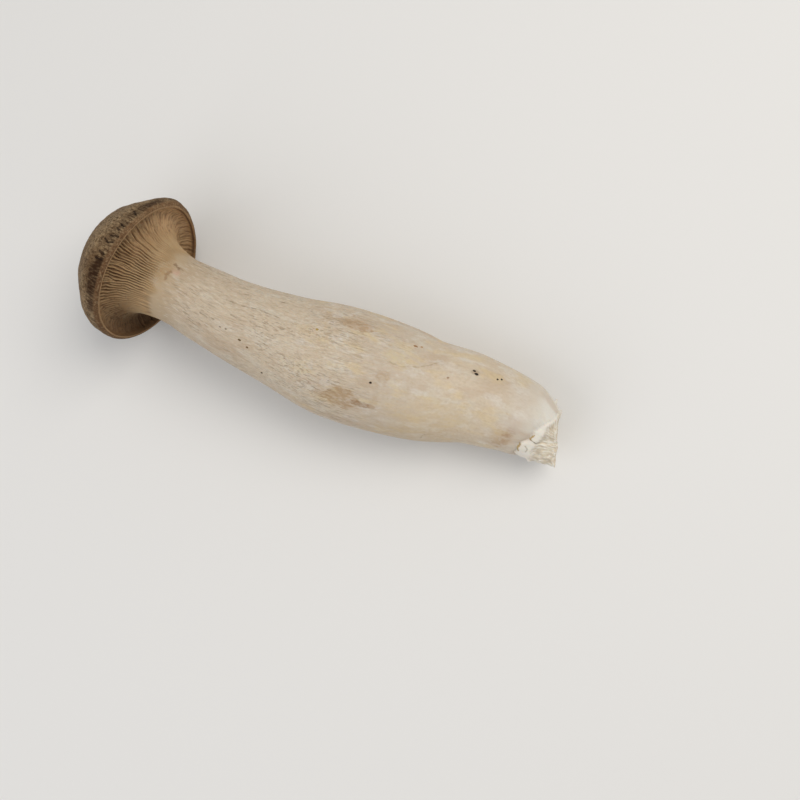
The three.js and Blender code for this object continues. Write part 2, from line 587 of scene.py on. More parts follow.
class Graph:
    """A node tree, with the steps of arithmetic that the gills and the finishes are made of."""

    def __init__(self, tree: bpy.types.NodeTree) -> None:
        """Keeps the tree that the steps go into."""
        self.tree = tree

    def maths(self, operation: str, first: object, second: object = 0.0) -> Socket:
        """Adds one step of arithmetic and gives its result."""
        return add(self.tree, "ShaderNodeMath", {"operation": operation},
                   {0: first, 1: second}).outputs[0]

    def product(self, *values: object) -> Socket:
        """Multiplies masks, strengths and other values together."""
        return reduce(lambda result, value: self.maths("MULTIPLY", result, value), values)

    def vector(self, operation: str, *values: object) -> bpy.types.Node:
        """Adds one step of vector arithmetic and gives its node."""
        return add(self.tree, "ShaderNodeVectorMath", {"operation": operation},
                   dict(enumerate(values)))

    def rise(self, value: object, start: object, end: object, least: float = 0.0,
             most: float = 1.0) -> Socket:
        """Adds a smooth step from least at start to most at end, which may be below start."""
        return add(self.tree, "ShaderNodeMapRange", {"interpolation_type": "SMOOTHSTEP"},
                   {"Value": value, "From Min": start, "From Max": end,
                    "To Min": least, "To Max": most}).outputs[0]


@dataclass(frozen=True)
class GillSet:
    """One of the two sets of gills.

    Its shift is a share of the long gills' spacing, and its width a share of their crests' width.
    The shortest and the longest gill are shares of the way from the margin to the neck, and below 0
    a gill is missing. Each set has its own stream of random lengths.
    """

    shift: float
    width: float
    shortest: float
    longest: float
    stream: int


@dataclass(frozen=True)
class Gills:
    """The gills, pressed into the skin between the margin and the neck.

    Long gills run all the way, and a short one starts from the margin between most of them.
    The gills are deepest at one angle round the axis and shallow across from it.
    The crests' width is a share of the long gills' spacing, and sizes of waves are in mm.
    """

    long_gills: int = 96
    crest_width: float = 0.25
    depth: float = 1.35 * MM
    waviness: float = 2.2
    deepest: float = math.radians(140)
    seed: int = 7
    sets: tuple = (GillSet(0.0, 1.0, 0.80, 1.08, 0), GillSet(0.5, 0.62, -0.45, 0.75, 1))
    crest_growth: float = 0.06
    broad_wave: float = 6.5
    fine_wave: float = 2.6
    fine_share: float = 0.55
    reach_gain: float = 0.10
    tip: float = 0.2
    sinks: tuple = (0.0, 0.1)
    shoals: tuple = (0.98, 0.58)
    depth_swing: float = 0.35
    # how much the painted shade in the valleys weakens across from the deepest angle
    shade_swing: float = 0.28
    notch_size: float = 2.2
    notch_swing: float = 1.1
    notch_level: float = 0.95
    flesh_from: float = -0.01

    SOCKETS = (
        ("Long Gills", "NodeSocketInt", "long_gills"),
        ("Crest Width", "NodeSocketFloat", "crest_width"),
        ("Depth", "NodeSocketFloat", "depth"),
        ("Waviness", "NodeSocketFloat", "waviness"),
        ("Deepest At", "NodeSocketFloat", "deepest"),
        ("Seed", "NodeSocketInt", "seed"),
    )

    def press(self, skin: bpy.types.Object, flesh: bpy.types.Material) -> None:
        """Runs the tree on the skin and keeps its result as the skin's plain mesh.

        Args:
            skin: the skin, with its angle, reach and grain attributes.
            flesh: the finish of everything that isn't the cap's cuticle.
        """
        tree = GillGraph(self).build()
        modifier = skin.modifiers.new("Gills", "NODES")
        modifier.node_group = tree
        sockets = {item.name: item.identifier for item in tree.interface.items_tree
                   if item.in_out == "INPUT"}
        for label, _, value in self.SOCKETS:
            modifier[sockets[label]] = getattr(self, value)
        modifier[sockets["Flesh"]] = flesh
        graph = bpy.context.evaluated_depsgraph_get()
        result = bpy.data.meshes.new_from_object(skin.evaluated_get(graph),
                                                 preserve_all_data_layers=True, depsgraph=graph)
        skin.modifiers.remove(modifier)
        old, skin.data = skin.data, result
        result.name = old.name
        bpy.data.meshes.remove(old)


class GillGraph(Graph):
    """The Geometry Nodes tree that sinks the valleys between the gills and dresses the flesh."""

    def __init__(self, gills: Gills) -> None:
        """Makes the tree's sockets and reads the skin's attributes.

        Args:
            gills: the gills' sizes.
        """
        super().__init__(bpy.data.node_groups.new("Gill ridges", "GeometryNodeTree"))
        self.gills = gills
        face = self.tree.interface
        face.new_socket("Geometry", in_out="INPUT", socket_type="NodeSocketGeometry")
        for label, kind, _ in gills.SOCKETS:
            face.new_socket(label, in_out="INPUT", socket_type=kind)
        face.new_socket("Flesh", in_out="INPUT", socket_type="NodeSocketMaterial")
        face.new_socket("Geometry", in_out="OUTPUT", socket_type="NodeSocketGeometry")
        self.given = add(self.tree, "NodeGroupInput").outputs
        self.angle, self.reach, self.grain = (
            add(self.tree, "GeometryNodeInputNamedAttribute", {"data_type": kind},
                {"Name": label}).outputs["Attribute"]
            for label, kind in (("angle", "FLOAT"), ("reach", "FLOAT"), ("grain", "FLOAT_VECTOR")))
        self.turn = self.maths("COSINE", self.maths("SUBTRACT", self.angle,
                                                    self.given["Deepest At"]))

    def wander(self, size: float) -> Socket:
        """Adds an even noise, from about -0.3 to 0.3, with grains of a size in mm.

        Args:
            size: the grains' size.

        Returns:
            The noise's value.
        """
        scaled = add(self.tree, "ShaderNodeVectorMath", {"operation": "SCALE"},
                     {0: self.grain, "Scale": 1.0 / size}).outputs[0]
        noise = add(self.tree, "ShaderNodeTexNoise", {"noise_dimensions": "4D"},
                    {"Vector": scaled, "W": self.given["Seed"], "Scale": 1.0, "Detail": 1.0})
        return self.maths("SUBTRACT", noise.outputs[0], 0.5)

    def swing(self, share: float) -> Socket:
        """Gives 1 at the deepest angle, and less by twice a share across from it."""
        return self.maths("ADD", self.maths("MULTIPLY", self.turn, share), 1.0 - share)

    def ridge(self, kind: GillSet, phase: Socket, pitch: Socket,
              crest: Socket) -> Socket:
        """Adds one set of gills.

        Args:
            kind: the set's sizes.
            phase: how many long gills lie between angle 0 and each point.
            pitch: the long gills' spacing in mm.
            crest: the long gills' crest width in mm.

        Returns:
            How high the set's gills stand, from 0 in a valley to 1 on a crest.
        """
        shifted = self.maths("SUBTRACT", phase, kind.shift)
        cell = self.maths("ROUND", shifted)
        off = self.maths("SUBTRACT", shifted, cell)
        width = self.maths("MULTIPLY", crest, kind.width)
        share = self.maths("DIVIDE", self.maths("MULTIPLY", off, pitch), width)
        bell = self.maths("EXPONENT", self.product(share, share, -1.0))
        length = add(self.tree, "FunctionNodeRandomValue", {"data_type": "FLOAT"}, {
            2: kind.shortest, 3: kind.longest,
            "ID": self.maths("FLOORED_MODULO", cell, self.given["Long Gills"]),
            "Seed": self.maths("ADD", self.given["Seed"], kind.stream)}).outputs[1]
        gain = self.maths("MULTIPLY", self.maths("SUBTRACT", 1.0, self.turn),
                          self.gills.reach_gain)
        length = self.maths("ADD", length, gain)
        tip = self.rise(self.reach, self.maths("SUBTRACT", length, self.gills.tip), length)
        return self.maths("MULTIPLY", bell, self.maths("SUBTRACT", 1.0, tip))

    def valley(self) -> Socket:
        """Finds the valleys between the gills.

        Returns:
            How deep each point lies, from 0 on a crest to about 1.
        """
        gills, given = self.gills, self.given
        wave = self.maths("ADD", self.wander(gills.broad_wave),
                          self.maths("MULTIPLY", self.wander(gills.fine_wave), gills.fine_share))
        turns = self.maths("DIVIDE", self.maths("MULTIPLY", self.angle, given["Long Gills"]),
                           2 * math.pi)
        phase = self.maths("ADD", turns, self.maths("MULTIPLY", wave, given["Waviness"]))
        ring = self.vector("MULTIPLY", self.grain, (0.0, 1.0, 1.0)).outputs[0]
        radius = self.vector("LENGTH", ring).outputs["Value"]
        pitch = self.maths("DIVIDE", self.maths("MULTIPLY", radius, 2 * math.pi),
                           given["Long Gills"])
        growth = self.maths("ADD", self.maths("MULTIPLY", self.reach, gills.crest_growth),
                            given["Crest Width"])
        crest = self.maths("MULTIPLY", pitch, growth)
        ridge = self.maths("MAXIMUM", *(self.ridge(kind, phase, pitch, crest)
                                        for kind in gills.sets))
        notch = self.maths("ADD", self.maths("MULTIPLY", self.wander(gills.notch_size),
                                             gills.notch_swing), gills.notch_level)
        return self.product(self.maths("SUBTRACT", 1.0, ridge),
                            self.rise(self.reach, *gills.sinks),
                            self.rise(self.reach, *gills.shoals), notch)

    def build(self) -> bpy.types.NodeTree:
        """Sinks the valleys, keeps their depth as the mask for the painted shade in them, and
        dresses the flesh.

        Returns:
            The finished tree.
        """
        valley = self.valley()
        down = self.product(valley, self.maths("MULTIPLY", self.given["Depth"], -1.0),
                            self.swing(self.gills.depth_swing))
        normal = add(self.tree, "GeometryNodeInputNormal").outputs["Normal"]
        offset = add(self.tree, "ShaderNodeVectorMath", {"operation": "SCALE"},
                     {0: normal, "Scale": down}).outputs[0]
        moved = add(self.tree, "GeometryNodeSetPosition", inputs={
            "Geometry": self.given["Geometry"], "Offset": offset}).outputs[0]
        # the mask for the painted shade in the valleys, weaker across from the deepest angle
        valley_shade_mask = self.maths("MULTIPLY", valley, self.swing(self.gills.shade_swing))
        kept = add(self.tree, "GeometryNodeStoreNamedAttribute", {"data_type": "FLOAT"},
                   {"Geometry": moved, "Name": "valley", "Value": valley_shade_mask}).outputs[0]
        whole = add(self.tree, "GeometryNodeRealizeInstances",
                    inputs={"Geometry": kept}).outputs[0]
        under = self.maths("GREATER_THAN", self.reach, self.gills.flesh_from)
        dressed = add(self.tree, "GeometryNodeSetMaterial", inputs={
            "Geometry": whole, "Selection": under, "Material": self.given["Flesh"]}).outputs[0]
        add(self.tree, "NodeGroupOutput", inputs={"Geometry": dressed})
        return self.tree


class On(Enum):
    """What a range is measured on: a way through the skin's grain in mm, or an attribute."""

    LENGTH = (1.0, 0.0, 0.0)
    RIGHT = (0.0, 1.0, 0.0)
    LEFT = (0.0, -0.87, 0.50)
    LOW = (0.0, -0.82, -0.57)
    VALLEY_SHADE = "valley"
    TORN = "torn"
    FLAP = "flap"


class Paint(Graph):
    """One finish: colours and fine reliefs, each laid over the ones before it through a mask.

    A mask's parts are ranges, specks, marks and creases, or other masks and strengths.
    """

    def __init__(self, name: str, look: "Look", profile: Profile) -> None:
        """Starts a finish.

        Args:
            name: the material's name.
            look: its ground colour and how its surface takes the light.
            profile: the section's sizes, which place the marks.
        """
        self.material = bpy.data.materials.new(name)
        self.material.use_nodes = True
        super().__init__(self.material.node_tree)
        self.profile = profile
        self.tree.nodes.clear()
        self.shader = add(self.tree, "ShaderNodeBsdfPrincipled", inputs={
            "Roughness": look.roughness, "IOR": look.bend, "Subsurface Weight": look.scatter,
            "Subsurface Radius": look.bleed, "Subsurface Scale": look.bleed_scale,
            "Specular IOR Level": look.gloss})
        add(self.tree, "ShaderNodeOutputMaterial",
            inputs={"Surface": self.shader.outputs["BSDF"]})
        self.grain = self.named("grain", "Vector")
        self.sources: dict[On, Socket] = {}
        self.colour: object = linear(look.ground)
        self.relief: Socket | None = None

    def named(self, label: str, output: str = "Fac") -> Socket:
        """Reads one of the mesh's attributes."""
        node = add(self.tree, "ShaderNodeAttribute",
                   {"attribute_type": "GEOMETRY", "attribute_name": label})
        return node.outputs[output]

    def source(self, on: On) -> Socket:
        """Gives what ranges are measured on, with one node for each kind.

        Args:
            on: what is measured.

        Returns:
            Its value at each place.
        """
        if on not in self.sources:
            self.sources[on] = (
                self.named(on.value) if isinstance(on.value, str) else
                self.vector("DOT_PRODUCT", self.grain, on.value).outputs["Value"])
        return self.sources[on]

    def noise(self, size: tuple[float, float, float], detail: float,
              shift: float) -> Socket:
        """Gives a noise around 0.5 whose grains have a size in mm.

        The noise scales its own coordinates. Scaled ones made by other nodes would all wait on the
        shader's small stack at once, and a finish that overfills the stack turns black.

        Args:
            size: the grains' size in mm, along the stem or out from the cap's top, then across.
            detail: how many finer noises are added.
            shift: moves the pattern, so that two of one size differ.

        Returns:
            The noise's value.
        """
        node = add(self.tree, "ShaderNodeTexNoise", inputs={
            "Vector": self.grain, "Scale": 1.0, "Detail": detail})
        node.texture_mapping.scale = tuple(1.0 / part for part in size)
        node.texture_mapping.translation = (shift, shift, shift)
        return node.outputs[0]

    def wobble(self, size: tuple[float, float, float], detail: float, shift: float) -> Socket:
        """Gives the same noise around 0 instead of 0.5."""
        return self.maths("SUBTRACT", self.noise(size, detail, shift), 0.5)

    def mask(self, *parts: object) -> Socket:
        """Multiplies the masks of a mask's parts together."""
        return self.product(*(part.mask(self) if hasattr(part, "mask") else part
                              for part in parts))

    def lay(self, colour: str, *parts: object) -> None:
        """Lays a colour over what is under it, as strongly as its mask says."""
        self.colour = add(self.tree, "ShaderNodeMix", {"data_type": "RGBA"}, {
            "Factor": self.mask(*parts), 6: self.colour, 7: linear(colour)}).outputs[2]

    def spread(self, layers: tuple) -> None:
        """Lays a list of layers one over another."""
        for layer in layers:
            self.lay(layer.colour, *layer.parts, layer.strength)

    def crack(self, creases: tuple, *parts: object) -> Socket:
        """Lays creases.

        Args:
            creases: the creases.
            parts: what thins all of them.

        Returns:
            The mask of all of them.
        """
        lines: object = 0.0
        for crease in creases:
            mask = self.mask(crease, *parts)
            self.lay(crease.colour, mask)
            lines = self.most(lines, mask)
        return lines

    def most(self, *masks: object) -> Socket:
        """Gives the strongest of some masks."""
        return reduce(lambda result, mask: self.maths("MAXIMUM", result, mask), masks)

    def emboss(self, height: Socket, depth: float) -> None:
        """Adds a fine relief on top of the ones before.

        Args:
            height: how high each place is, from 0 to 1.
            depth: what a height of 1 stands for, in mm.
        """
        under = {} if self.relief is None else {"Normal": self.relief}
        self.relief = add(self.tree, "ShaderNodeBump", inputs={
            "Height": height, "Distance": depth * MM, "Strength": 1.0, **under}).outputs[0]

    def sink(self, mask: Socket, depth: float) -> None:
        """Presses in what a mask covers, by a depth in mm."""
        self.emboss(self.maths("SUBTRACT", 1.0, mask), depth)

    def spot(self, length: float, around: float) -> Vector:
        """Finds a place in the skin's grain from its length from the lip and its angle."""
        radius, turn = self.profile.radius_at(length), math.radians(around)
        return Vector((length, radius * math.cos(turn), radius * math.sin(turn)))

    def finish(self) -> bpy.types.Material:
        """Gives the colours and reliefs to the shader.

        Returns:
            The material.
        """
        self.tree.links.new(self.colour, self.shader.inputs["Base Color"])
        self.tree.links.new(self.relief, self.shader.inputs["Normal"])
        return self.material


@dataclass(frozen=True)
class Look:
    """A finish's ground colour, and how its surface takes the light.

    Scatter is how much of the light goes through the flesh before it comes out, and gloss the
    strength of the mirror-like share. Red light bleeds furthest, as it does in pale flesh.
    """

    ground: str
    roughness: float
    scatter: float
    gloss: float
    bend: float = 1.4
    bleed: tuple = (1.0, 0.6, 0.35)
    bleed_scale: float = 1.6 * MM


@dataclass(frozen=True)
class Range:
    """A smooth step in a mask, from least at start to most at end, which may be the lower."""

    on: On
    start: float
    end: float
    least: float = 0.0
    most: float = 1.0

    def mask(self, paint: Paint) -> Socket:
        """Gives the range's mask."""
        return paint.rise(paint.source(self.on), self.start, self.end, self.least, self.most)


@dataclass(frozen=True)
class Specks:
    """Irregular specks, where a noise goes from start to end.

    Size, detail and shift are the noise's. The mask goes from least to most.
    """

    size: tuple
    start: float
    end: float
    detail: float = 2.0
    shift: float = 0.0
    least: float = 0.0
    most: float = 1.0

    def mask(self, paint: Paint) -> Socket:
        """Gives the specks' mask."""
        return paint.rise(paint.noise(self.size, self.detail, self.shift),
                          self.start, self.end, self.least, self.most)


@dataclass(frozen=True)
class Curls:
    """Fine curled lines, which follow the middle level of a noise."""

    size: tuple
    width: float
    shift: float
    core: float = 0.3

    def mask(self, paint: Paint) -> Socket:
        """Gives the lines' mask."""
        level = paint.maths("ABSOLUTE", paint.wobble(self.size, 1.0, self.shift))
        return paint.rise(level, self.width, self.width * self.core)


@dataclass(frozen=True)
class Layer:
    """A colour, how strongly it covers what is under it, and the parts of its mask."""

    colour: str
    strength: float
    parts: tuple


class Edge(Enum):
    """How wide a mark's border is, as a share of its size."""

    SHARP = 0.25
    SOFT = 0.9


@dataclass(frozen=True)
class Mark:
    """A blemish: its middle, half lengths in mm, colour, strength and border.

    Its middle is a length along the surface from the lip in mm, negative on the cap, and an
    angle round the axis in degrees. A noise makes its border uneven.
    """

    length: float
    around: float
    half_length: float
    half_width: float
    colour: str
    strength: float
    edge: Edge = Edge.SHARP

    # The noise's grains: a share of the half width, the least size in mm, how much longer than
    # wide, and their detail. Then how far it moves the border, in half widths.
    CELL, LEAST_CELL, STRETCH, DETAIL = 0.5, 0.4, 1.6, 3.0
    WOBBLE = 1.2

    def mask(self, paint: Paint) -> Socket:
        """Gives the mark's mask.

        Args:
            paint: the finish that it is laid on.

        Returns:
            The mask.
        """
        size = (1.0 / self.half_length, 1.0 / self.half_width, 1.0 / self.half_width)
        off = paint.vector("SUBTRACT", paint.grain, paint.spot(self.length, self.around))
        off = paint.vector("MULTIPLY", off.outputs[0], size)
        far = paint.vector("LENGTH", off.outputs[0]).outputs["Value"]
        cell = max(self.half_width * self.CELL, self.LEAST_CELL)
        wobble = paint.wobble((cell * self.STRETCH, cell, cell), self.DETAIL, self.length)
        far = paint.maths("ADD", far, paint.product(wobble, self.WOBBLE))
        half = self.edge.value / 2
        return paint.product(paint.rise(far, 1.0 + half, 1.0 - half), self.strength)


@dataclass(frozen=True)
class Crease:
    """A fine dark line through places given as lengths from the lip and angles."""

    places: tuple
    width: float
    colour: str
    strength: float

    # The noise that makes the line's width uneven, and its reach in widths of the line.
    CELL, DETAIL, WOBBLE = (1.3, 0.7, 0.7), 2.0, 3.0
    # Where the line begins and is full, in widths of the line.
    OUTER, INNER = 1.5, 0.4

    def mask(self, paint: Paint) -> Socket:
        """Gives the crease's mask.

        Args:
            paint: the finish that it is laid on.

        Returns:
            The mask.
        """
        spots = [paint.spot(*place) for place in self.places]
        fars = []
        for start, end in zip(spots, spots[1:]):
            along = end - start
            off = paint.vector("SUBTRACT", paint.grain, start).outputs[0]
            share = paint.vector("DOT_PRODUCT", off, along / along.length_squared)
            share = paint.maths("MAXIMUM", share.outputs["Value"], 0.0)
            line = add(paint.tree, "ShaderNodeVectorMath", {"operation": "SCALE"},
                       {0: along, "Scale": paint.maths("MINIMUM", share, 1.0)}).outputs[0]
            fars.append(paint.vector("DISTANCE", off, line).outputs["Value"])
        far = reduce(lambda first, second: paint.maths("MINIMUM", first, second), fars)
        wobble = paint.wobble(self.CELL, self.DETAIL, self.width)
        far = paint.maths("ADD", far, paint.product(wobble, self.width * self.WOBBLE))
        line = paint.rise(far, self.width * self.OUTER, self.width * self.INNER)
        return paint.product(line, self.strength)


CAP_MARKS = (
    Mark(-5.6, 100.0, 4.2, 10.0, "#543719", 0.45, Edge.SOFT),
    Mark(-4.2, 112.0, 2.6, 6.4, "#311a06", 0.97, Edge.SOFT),
    Mark(-3.4, 98.0, 1.7, 1.8, "#331d0b", 0.85, Edge.SOFT),
    Mark(-3.0, 131.0, 1.6, 3.4, "#3f2715", 0.75, Edge.SOFT),
    Mark(-3.9, 47.0, 1.8, 5.2, "#39230f", 0.56, Edge.SOFT),
    Mark(-3.2, 32.0, 1.6, 3.6, "#3a2514", 0.66, Edge.SOFT),
    Mark(-2.4, 1.0, 1.3, 5.0, "#341f10", 0.80, Edge.SOFT),
    Mark(-3.6, 205.0, 2.0, 5.0, "#432c1c", 0.60, Edge.SOFT),
    Mark(-3.8, 262.0, 2.2, 6.0, "#3f291a", 0.65, Edge.SOFT),
    Mark(-3.2, 315.0, 1.8, 4.5, "#432c1c", 0.60, Edge.SOFT),
)
CAP_CREASES = (
    Crease(((-3.0, 66.5), (-4.3, 65.5)), 0.34, "#20140b", 0.85),
    Crease(((-3.3, 70.0), (-4.7, 69.5)), 0.26, "#2a1a0f", 0.75),
    Crease(((-2.3, 75.0), (-4.6, 76.5)), 0.30, "#291a10", 0.80),
    Crease(((-2.7, 80.5), (-4.2, 82.0), (-6.2, 80.5)), 0.30, "#291a10", 0.82),
    Crease(((-3.2, 52.5), (-4.7, 51.0)), 0.34, "#20140b", 0.85),
    Crease(((-3.4, 91.0), (-5.2, 90.0)), 0.40, "#2b1a0e", 0.80),
    Crease(((-3.0, 95.0), (-5.6, 95.5)), 0.34, "#291a10", 0.80),
    Crease(((-3.4, 225.0), (-5.4, 226.0)), 0.30, "#291a10", 0.80),
    Crease(((-3.0, 288.0), (-4.8, 287.0)), 0.34, "#2b1a0e", 0.80),
)
STEM_MARKS = (
    Mark(24.6, 71.0, 1.9, 4.0, "#a78a64", 0.65, Edge.SOFT),
    Mark(27.4, 67.0, 1.3, 1.1, "#c39a86", 0.50, Edge.SOFT),
    Mark(91.6, 47.0, 5.6, 2.5, "#ad9070", 0.66),
    Mark(86.2, 47.0, 3.4, 1.0, "#ab9376", 0.50, Edge.SOFT),
    Mark(93.6, 125.5, 6.2, 3.9, "#a58762", 0.62),
    Mark(100.6, 126.0, 3.2, 1.1, "#8f7152", 0.55),
    Mark(104.2, 125.0, 1.6, 0.7, "#98795a", 0.50),
    Mark(86.4, 127.0, 1.8, 2.6, "#b39b7c", 0.45, Edge.SOFT),
    Mark(105.0, 91.0, 2.6, 1.9, "#ab9174", 0.50, Edge.SOFT),
    Mark(101.4, 102.0, 3.4, 1.8, "#b39c80", 0.40, Edge.SOFT),
    Mark(104.8, 121.0, 1.4, 4.2, "#b7a286", 0.38, Edge.SOFT),
    Mark(134.3, 57.2, 1.3, 1.0, "#8f7456", 0.42, Edge.SOFT),
    Mark(133.9, 55.3, 0.52, 0.38, "#2a1b10", 0.95),
    Mark(134.8, 59.0, 0.62, 0.46, "#180f08", 0.97),
    Mark(141.3, 53.8, 0.34, 0.32, "#2b1d12", 0.97),
    Mark(142.5, 51.3, 0.36, 0.36, "#2b1d12", 0.97),
    Mark(101.9, 100.6, 0.42, 0.38, "#20150c", 0.97),
    Mark(65.8, 142.0, 0.42, 0.36, "#33261a", 0.90),
    Mark(48.8, 106.0, 0.34, 0.26, "#5d4c37", 0.60),
    Mark(50.7, 105.0, 0.36, 0.30, "#54432f", 0.65),
    Mark(55.9, 110.6, 0.54, 0.34, "#5c4820", 0.90),
    Mark(58.9, 115.6, 0.40, 0.32, "#6b4f26", 0.90),
    Mark(111.8, 47.0, 0.90, 0.40, "#8a5f33", 0.85),
    Mark(114.0, 44.6, 0.55, 0.42, "#a67c4c", 0.80),
    Mark(78.2, 65.6, 0.50, 0.45, "#a3852f", 0.85),
    Mark(126.7, 74.0, 0.45, 0.32, "#8f6f50", 0.80),
    Mark(107.5, 68.5, 4.8, 2.2, "#cfc09a", 0.45, Edge.SOFT),
    Mark(148.6, 134.0, 3.6, 4.6, "#b89a70", 0.40, Edge.SOFT),
    Mark(148.4, 146.0, 1.7, 2.4, "#9d7549", 0.28, Edge.SOFT),
    Mark(150.2, 129.0, 1.9, 2.6, "#97704c", 0.36, Edge.SOFT),
    Mark(151.7, 114.0, 1.6, 2.0, "#96705a", 0.30, Edge.SOFT),
    Mark(152.0, 101.0, 3.0, 3.0, "#c4b3a2", 0.35, Edge.SOFT),
    Mark(152.5, 88.0, 2.8, 1.5, "#e2ddd3", 0.32, Edge.SOFT),
    Mark(124.0, 122.0, 15.0, 6.0, "#cbb792", 0.38, Edge.SOFT),
    # a darker beige patch along the stem's lower edge, partly the flesh's tone and partly painted
    # shade
    Mark(121.0, 158.0, 16.0, 6.0, "#b9a27f", 0.42, Edge.SOFT),
)
STEM_CREASES = (
    Crease(((46.1, 67.2), (49.3, 67.8), (52.5, 66.8), (57.3, 63.9), (65.3, 65.6)), 0.22,
           "#8d7b63", 0.62),
    Crease(((50.4, 84.4), (53.6, 86.1), (57.0, 84.4), (60.5, 85.6)), 0.20, "#8d7b63", 0.60),
    Crease(((41.3, 102.2), (44.0, 102.8), (46.1, 100.6)), 0.22, "#85725a", 0.60),
    Crease(((62.1, 40.6), (65.3, 40.6)), 0.24, "#7f6c55", 0.68),
    Crease(((49.3, 50.6), (52.0, 46.1)), 0.20, "#8d7b63", 0.50),
    Crease(((63.1, 89.4), (65.3, 88.9)), 0.20, "#8d7b63", 0.55),
    Crease(((63.7, 102.2), (66.3, 104.4)), 0.20, "#8d7b63", 0.55),
    Crease(((25.3, 55.5), (26.4, 57.6), (27.3, 60.0)), 0.40, "#735738", 0.60),
    Crease(((26.9, 56.5), (28.6, 57.5)), 0.30, "#7b5e3f", 0.45),
    Crease(((25.9, 70.0), (25.2, 77.0), (25.7, 83.5)), 0.46, "#8a6c4c", 0.55),
    Crease(((103.5, 73.9), (105.1, 75.6), (109.3, 76.1), (112.5, 72.8), (115.7, 69.4),
            (118.9, 64.4), (123.7, 54.4)), 0.22, "#a08c68", 0.50),
    Crease(((120.5, 161.0), (121.0, 152.6), (122.8, 148.9)), 0.20, "#8f7350", 0.60),
    Crease(((127.9, 168.4), (130.6, 170.0), (134.8, 166.1)), 0.20, "#9c7b66", 0.50),
    Crease(((134.8, 163.0), (139.2, 160.0), (142.8, 159.0)), 0.18, "#a5876f", 0.45),
    Crease(((158.7, 107.0), (158.0, 112.5), (157.6, 118.0)), 0.26, "#b0914a", 0.80),
    Crease(((155.4, 132.0), (155.1, 140.0), (155.3, 148.0)), 0.32, "#a8883f", 0.80),
    Crease(((157.7, 118.5), (158.8, 121.0), (160.2, 124.5)), 0.20, "#8f7c55", 0.75),
    Crease(((156.9, 134.0), (157.6, 141.0), (157.3, 149.0)), 0.16, "#b0a691", 0.60),
)


@dataclass(frozen=True)
class CapCuticle:
    """The cap's thin brown skin: dry and matt like suede, which gives the eye its dark top."""

    LOOK = Look("#887154", roughness=0.72, scatter=0.08, gloss=0.15)
    BROWN, DARK, LIGHT = "#5d412a", "#342112", "#a08968"
    MARGIN = Range(On.LENGTH, -2.7, -1.7)
    # pale and brown drifts, so that the taupe isn't even
    GROUND = (
        Layer(LIGHT, 0.7, (Specks((1.3, 0.9, 0.9), 0.48, 0.62, 2.0, 3.0),)),
        Layer(BROWN, 0.35, (Specks((9.0, 9.0, 9.0), 0.42, 0.66),)),
    )
    # the curled dark specks that cover the cap, and plain ones between them
    CURLS = (Curls((1.5, 1.15, 1.15), 0.045, 31.0),
             Specks((2.4, 2.0, 2.0), 0.40, 0.55, 1.0, 13.0))
    SPECKS = Specks((1.1, 0.75, 0.75), 0.56, 0.63, 2.0, 57.0)
    # dark strokes in a band above the margin, which point at it
    STROKES = (Range(On.LENGTH, -7.5, -4.0), Range(On.LENGTH, -1.7, -2.5),
               Specks((3.4, 0.5, 0.5), 0.47, 0.57, 2.0, 7.0))
    FRAYED = Specks((2.4, 0.6, 0.6), 0.38, 0.58, 3.0, 19.0, least=0.55)
    # the rolled margin: browner to the left, mottled, with a pale rim along the gills
    EDGE = (
        Layer("#7f6043", 0.68, (MARGIN,)),
        Layer(BROWN, 0.66, (MARGIN, Range(On.LEFT, -6.0, 19.0))),
        Layer(BROWN, 0.40, (MARGIN, Specks((1.6, 2.2, 2.2), 0.45, 0.65, 2.0, 5.0))),
        Layer(LIGHT, 0.42, (MARGIN, Specks((1.0, 0.8, 0.8), 0.50, 0.62, 2.0, 43.0))),
        Layer(DARK, 0.42, (MARGIN, Specks((1.3, 0.45, 0.45), 0.53, 0.63, 2.0, 47.0))),
        Layer("#a58663", 0.8, (Range(On.LENGTH, -0.75, -0.35),)),
    )
    # a nap as fine as suede's
    NAP = Specks((0.9, 0.6, 0.6), 0.3, 0.7, 3.0, 11.0)
    # how deep each relief is, in mm
    SPECK_DEPTH, CREASE_DEPTH, NAP_DEPTH = 0.16, 0.40, 0.08
    # how strongly the dark brown covers, and how deep the curls are beside the specks
    CURL_COVER, SPECK_COVER, STROKE_COVER, CURL_SHARE = 0.68, 0.60, 0.60, 0.6

    def material(self, profile: Profile) -> bpy.types.Material:
        """Builds the cuticle: curled specks on taupe, dark strokes by the rim, a pale margin.

        Args:
            profile: the section's sizes, which place the marks.

        Returns:
            The material.
        """
        paint = Paint("cap cuticle", self.LOOK, profile)
        paint.spread(self.GROUND)
        curls, specks = paint.mask(*self.CURLS), paint.mask(self.SPECKS)
        paint.lay(self.DARK, curls, self.CURL_COVER)
        paint.lay(self.DARK, specks, self.SPECK_COVER)
        strokes, frayed = paint.mask(*self.STROKES), paint.mask(self.FRAYED)
        for mark in CAP_MARKS:
            paint.lay(mark.colour, mark, frayed)
        paint.lay(self.DARK, strokes, self.STROKE_COVER)
        paint.spread(self.EDGE)
        lines = paint.crack(CAP_CREASES)
        sunk = paint.most(paint.product(curls, self.CURL_SHARE), specks, strokes)
        paint.sink(sunk, self.SPECK_DEPTH)
        paint.sink(lines, self.CREASE_DEPTH)
        paint.emboss(paint.mask(self.NAP), self.NAP_DEPTH)
        return paint.finish()


